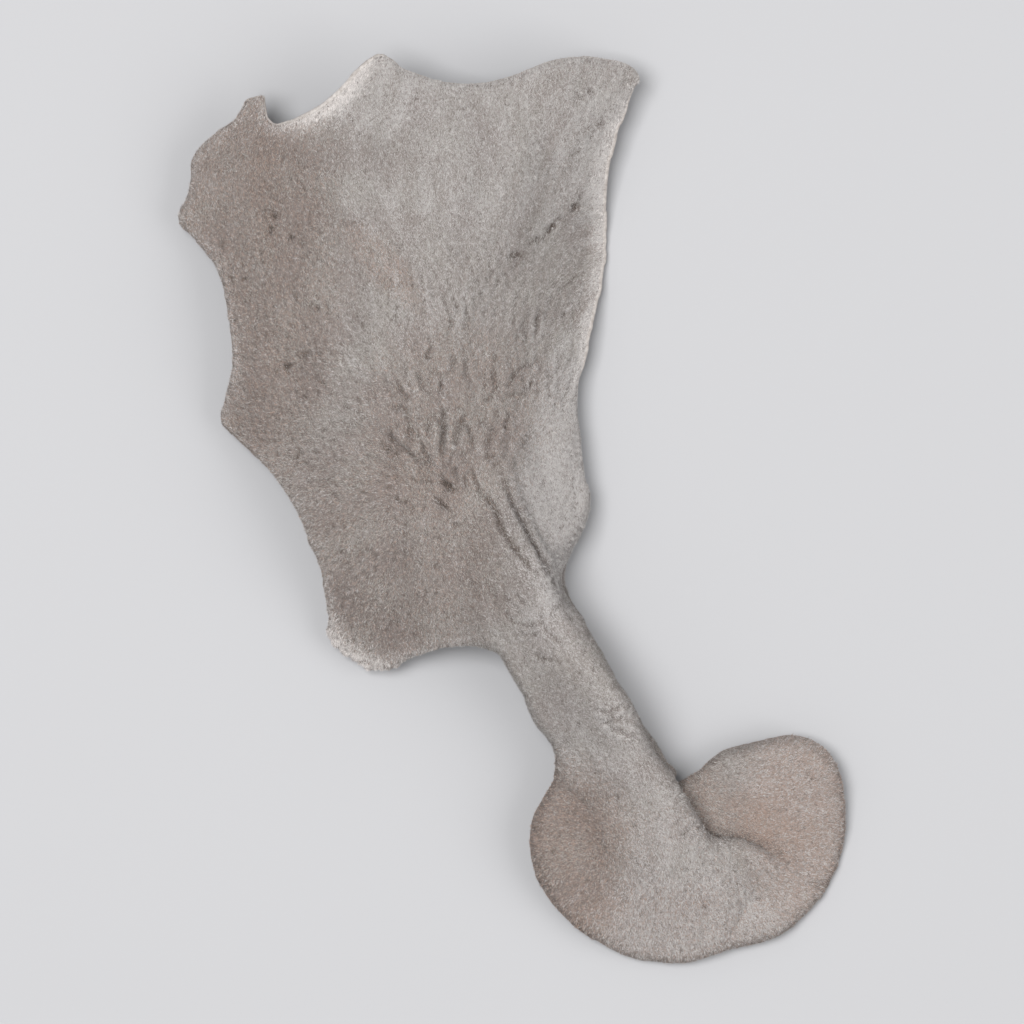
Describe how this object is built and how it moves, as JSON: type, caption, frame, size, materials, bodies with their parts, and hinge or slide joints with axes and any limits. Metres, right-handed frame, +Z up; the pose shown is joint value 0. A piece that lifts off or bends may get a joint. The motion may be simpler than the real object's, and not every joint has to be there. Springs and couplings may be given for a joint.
{
  "type": "dried wood ear mushroom",
  "caption": "Dried wood ear mushroom: a leathery felted sheet with a lobed ear, a folded neck and a round foot lobe, lying felt side up.",
  "frame": {"origin": "centre of the bounding box, at the surface that the mushroom lies on", "axes": "+Z up from that surface, out of the felted side; +Y along the length, from the foot lobe towards the raised edge of the ear"},
  "size_m": [0.0724, 0.0974, 0.0147],
  "materials": {
    "felted_sheet": "dry grey-brown felt above, dark smooth skin below"
  },
  "bodies": {
    "root": {"wood_ear": "felted_sheet"}
  },
  "joints": []
}
